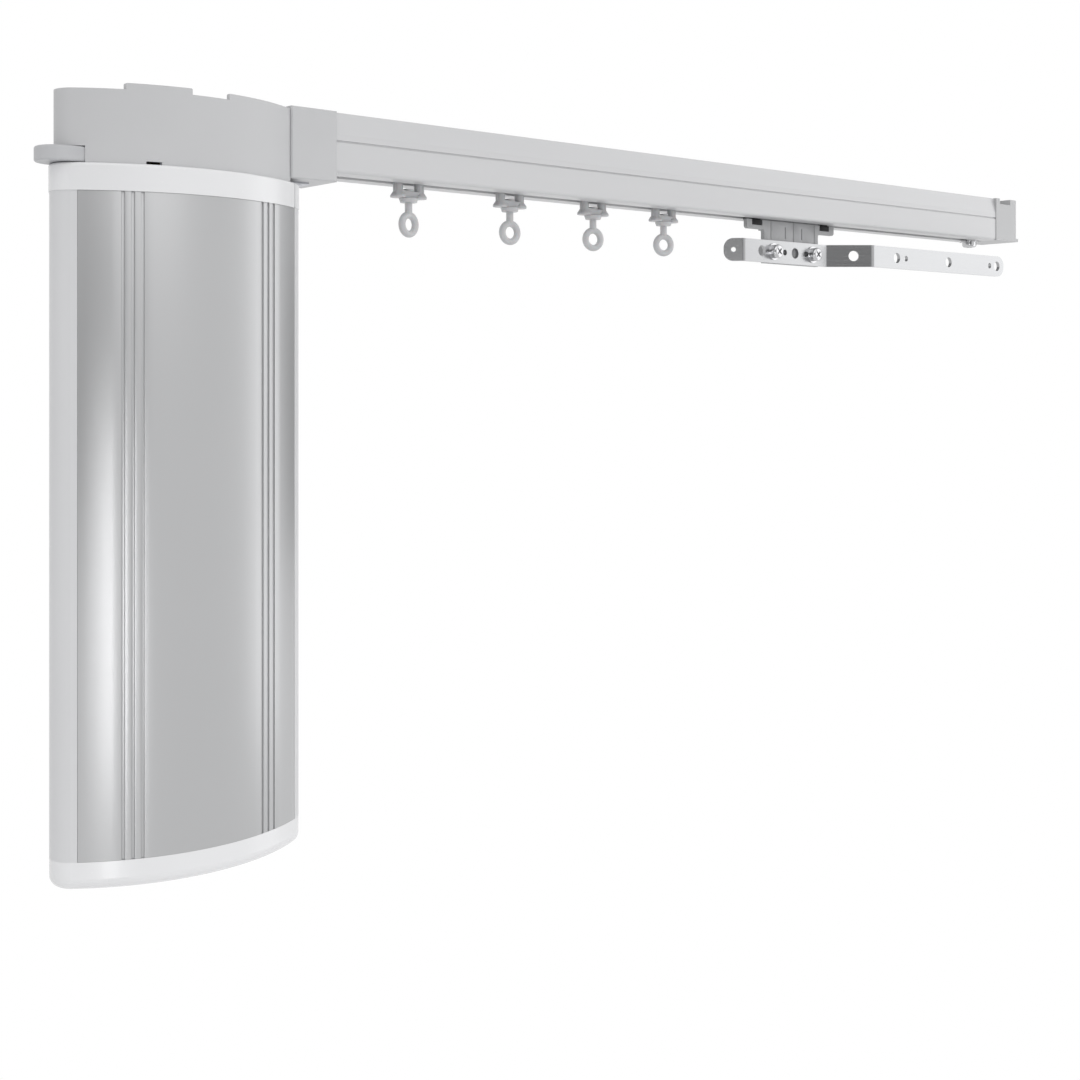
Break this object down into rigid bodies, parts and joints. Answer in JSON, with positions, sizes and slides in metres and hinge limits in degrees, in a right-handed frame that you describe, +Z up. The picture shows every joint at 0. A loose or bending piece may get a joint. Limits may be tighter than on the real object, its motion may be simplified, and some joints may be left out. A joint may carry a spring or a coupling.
{
  "type": "electric curtain track",
  "caption": "Ceiling curtain track with an upright motor at one end, a belt-driven master carrier with an offset arm, and free gliders with swivel eyelets.",
  "frame": {"origin": "centre of the rail's flat top face, at the middle of its length", "axes": "+X along the rail away from the motor, +Z up to the ceiling, -Y towards the room"},
  "size_m": [0.6372, 0.0437, 0.3077],
  "materials": {
    "track_white": "satin",
    "housing_grey": "satin",
    "end_grey": "satin",
    "white_plastic": "semi-gloss",
    "panel_silver": "satin metallic",
    "shell_grey": "semi-gloss",
    "inner_black": "matte",
    "zinc_plated": "zinc plated",
    "bearing_steel": "ground",
    "screw_bright": "nickel plated",
    "motor_steel": "drawn",
    "board_green": "solder mask",
    "belt_black": "matte",
    "pulley_grey": "matte",
    "brass_gear": "machined",
    "lever_grey": "satin",
    "carrier_grey": "satin",
    "arm_steel": "powder coated",
    "wheel_white": "satin",
    "glider_white": "satin"
  },
  "bodies": {
    "track": {"rail": "track_white", "coupler_sleeve": "housing_grey", "coupler_latch": "zinc_plated", "gearbox_housing": "housing_grey", "gearbox_base": "inner_black", "gearbox_midplate": "inner_black", "tie_screws": "zinc_plated", "drive_bearings": "bearing_steel", "lever_pin": "zinc_plated", "motor_collar": "white_plastic", "front_panel": "panel_silver", "rear_shell": "shell_grey", "bottom_cap": "white_plastic", "power_inlet": "inner_black", "control_socket": "inner_black", "motor_mount": "zinc_plated", "gearhead_case": "zinc_plated", "motor_can": "motor_steel", "motor_screws": "zinc_plated", "circuit_board": "board_green", "board_screws": "zinc_plated", "power_module": "inner_black", "idler_housing": "end_grey", "idler_axle": "bearing_steel", "idler_screw": "zinc_plated", "drive_belt": "belt_black"},
    "drive": {"drive_pulley": "pulley_grey", "drive_shaft": "bearing_steel", "drive_gear": "brass_gear"},
    "pinion": {"motor_pinion": "brass_gear"},
    "idler": {"idler_pulley": "pulley_grey"},
    "lever": {"lock_lever": "lever_grey"},
    "carrier": {"carrier_body": "carrier_grey", "belt_clamps": "inner_black", "carrier_axles": "bearing_steel", "carrier_arm": "arm_steel", "arm_screws": "screw_bright", "arm_washers": "screw_bright"},
    "carrier_left_wheels": {"carrier_wheels_left": "wheel_white"},
    "carrier_right_wheels": {"carrier_wheels_right": "wheel_white"},
    "glider_1": {"glider_1_body": "glider_white", "glider_1_axles": "bearing_steel"},
    "glider_1_left_wheels": {"glider_1_wheels_left": "wheel_white"},
    "glider_1_right_wheels": {"glider_1_wheels_right": "wheel_white"},
    "glider_1_ring": {"glider_1_eyelet": "glider_white"},
    "glider_2": {"glider_2_body": "glider_white", "glider_2_axles": "bearing_steel"},
    "glider_2_left_wheels": {"glider_2_wheels_left": "wheel_white"},
    "glider_2_right_wheels": {"glider_2_wheels_right": "wheel_white"},
    "glider_2_ring": {"glider_2_eyelet": "glider_white"},
    "glider_3": {"glider_3_body": "glider_white", "glider_3_axles": "bearing_steel"},
    "glider_3_left_wheels": {"glider_3_wheels_left": "wheel_white"},
    "glider_3_right_wheels": {"glider_3_wheels_right": "wheel_white"},
    "glider_3_ring": {"glider_3_eyelet": "glider_white"},
    "glider_4": {"glider_4_body": "glider_white", "glider_4_axles": "bearing_steel"},
    "glider_4_left_wheels": {"glider_4_wheels_left": "wheel_white"},
    "glider_4_right_wheels": {"glider_4_wheels_right": "wheel_white"},
    "glider_4_ring": {"glider_4_eyelet": "glider_white"}
  },
  "joints": [
    {"name": "carrier_slide", "type": "slide", "parent": "track", "child": "carrier", "axis": [1, 0, 0], "range_m": [-0.025, 0.12]},
    {"name": "drive_spin", "type": "hinge", "parent": "track", "child": "drive", "pos_m": [-0.3015, 0, -0.02], "axis": [0, 0, 1], "continuous": true},
    {"name": "idler_spin", "type": "hinge", "parent": "track", "child": "idler", "pos_m": [0.2375, 0, -0.01], "axis": [0, 0, 1], "continuous": true},
    {"name": "pinion_spin", "type": "hinge", "parent": "track", "child": "pinion", "pos_m": [-0.3107, -0.00771, -0.024], "axis": [0, 0, 1], "continuous": true},
    {"name": "lever_push", "type": "slide", "parent": "track", "child": "lever", "axis": [1, 0, 0], "range_m": [0, 0.004]},
    {"name": "carrier_left_roll", "type": "hinge", "parent": "carrier", "child": "carrier_left_wheels", "pos_m": [0.05471, 0, -0.02], "axis": [0, 1, 0], "continuous": true},
    {"name": "carrier_right_roll", "type": "hinge", "parent": "carrier", "child": "carrier_right_wheels", "pos_m": [0.08671, 0, -0.02], "axis": [0, 1, 0], "continuous": true},
    {"name": "glider_1_slide", "type": "slide", "parent": "track", "child": "glider_1", "axis": [1, 0, 0], "range_m": [-0.036, 0.0185]},
    {"name": "glider_1_left_roll", "type": "hinge", "parent": "glider_1", "child": "glider_1_left_wheels", "pos_m": [-0.19142, 0, -0.02], "axis": [0, 1, 0], "continuous": true},
    {"name": "glider_1_right_roll", "type": "hinge", "parent": "glider_1", "child": "glider_1_right_wheels", "pos_m": [-0.17982, 0, -0.02], "axis": [0, 1, 0], "continuous": true},
    {"name": "glider_1_swivel", "type": "hinge", "parent": "glider_1", "child": "glider_1_ring", "pos_m": [-0.18562, 0, -0.034], "axis": [0, 0, 1], "continuous": true},
    {"name": "glider_2_slide", "type": "slide", "parent": "track", "child": "glider_2", "axis": [1, 0, 0], "range_m": [-0.0185, 0.0155]},
    {"name": "glider_2_left_roll", "type": "hinge", "parent": "glider_2", "child": "glider_2_left_wheels", "pos_m": [-0.13261, 0, -0.02], "axis": [0, 1, 0], "continuous": true},
    {"name": "glider_2_right_roll", "type": "hinge", "parent": "glider_2", "child": "glider_2_right_wheels", "pos_m": [-0.12101, 0, -0.02], "axis": [0, 1, 0], "continuous": true},
    {"name": "glider_2_swivel", "type": "hinge", "parent": "glider_2", "child": "glider_2_ring", "pos_m": [-0.12681, 0, -0.034], "axis": [0, 0, 1], "continuous": true},
    {"name": "glider_3_slide", "type": "slide", "parent": "track", "child": "glider_3", "axis": [1, 0, 0], "range_m": [-0.0155, 0.0135]},
    {"name": "glider_3_left_roll", "type": "hinge", "parent": "glider_3", "child": "glider_3_left_wheels", "pos_m": [-0.07938, 0, -0.02], "axis": [0, 1, 0], "continuous": true},
    {"name": "glider_3_right_roll", "type": "hinge", "parent": "glider_3", "child": "glider_3_right_wheels", "pos_m": [-0.06778, 0, -0.02], "axis": [0, 1, 0], "continuous": true},
    {"name": "glider_3_swivel", "type": "hinge", "parent": "glider_3", "child": "glider_3_ring", "pos_m": [-0.07358, 0, -0.034], "axis": [0, 0, 1], "continuous": true},
    {"name": "glider_4_slide", "type": "slide", "parent": "track", "child": "glider_4", "axis": [1, 0, 0], "range_m": [-0.0135, 0.014]},
    {"name": "glider_4_left_roll", "type": "hinge", "parent": "glider_4", "child": "glider_4_left_wheels", "pos_m": [-0.03039, 0, -0.02], "axis": [0, 1, 0], "continuous": true},
    {"name": "glider_4_right_roll", "type": "hinge", "parent": "glider_4", "child": "glider_4_right_wheels", "pos_m": [-0.01879, 0, -0.02], "axis": [0, 1, 0], "continuous": true},
    {"name": "glider_4_swivel", "type": "hinge", "parent": "glider_4", "child": "glider_4_ring", "pos_m": [-0.02459, 0, -0.034], "axis": [0, 0, 1], "continuous": true}
  ],
  "couplings": [
    {"joint": "drive_spin", "follows": "carrier_slide", "rad_per_m": 107.53},
    {"joint": "idler_spin", "follows": "carrier_slide", "rad_per_m": 107.53},
    {"joint": "pinion_spin", "follows": "carrier_slide", "rad_per_m": -322.58},
    {"joint": "carrier_left_roll", "follows": "carrier_slide", "rad_per_m": 227.27},
    {"joint": "carrier_right_roll", "follows": "carrier_slide", "rad_per_m": 227.27},
    {"joint": "glider_1_left_roll", "follows": "glider_1_slide", "rad_per_m": 227.27},
    {"joint": "glider_1_right_roll", "follows": "glider_1_slide", "rad_per_m": 227.27},
    {"joint": "glider_2_left_roll", "follows": "glider_2_slide", "rad_per_m": 227.27},
    {"joint": "glider_2_right_roll", "follows": "glider_2_slide", "rad_per_m": 227.27},
    {"joint": "glider_3_left_roll", "follows": "glider_3_slide", "rad_per_m": 227.27},
    {"joint": "glider_3_right_roll", "follows": "glider_3_slide", "rad_per_m": 227.27},
    {"joint": "glider_4_left_roll", "follows": "glider_4_slide", "rad_per_m": 227.27},
    {"joint": "glider_4_right_roll", "follows": "glider_4_slide", "rad_per_m": 227.27}
  ]
}
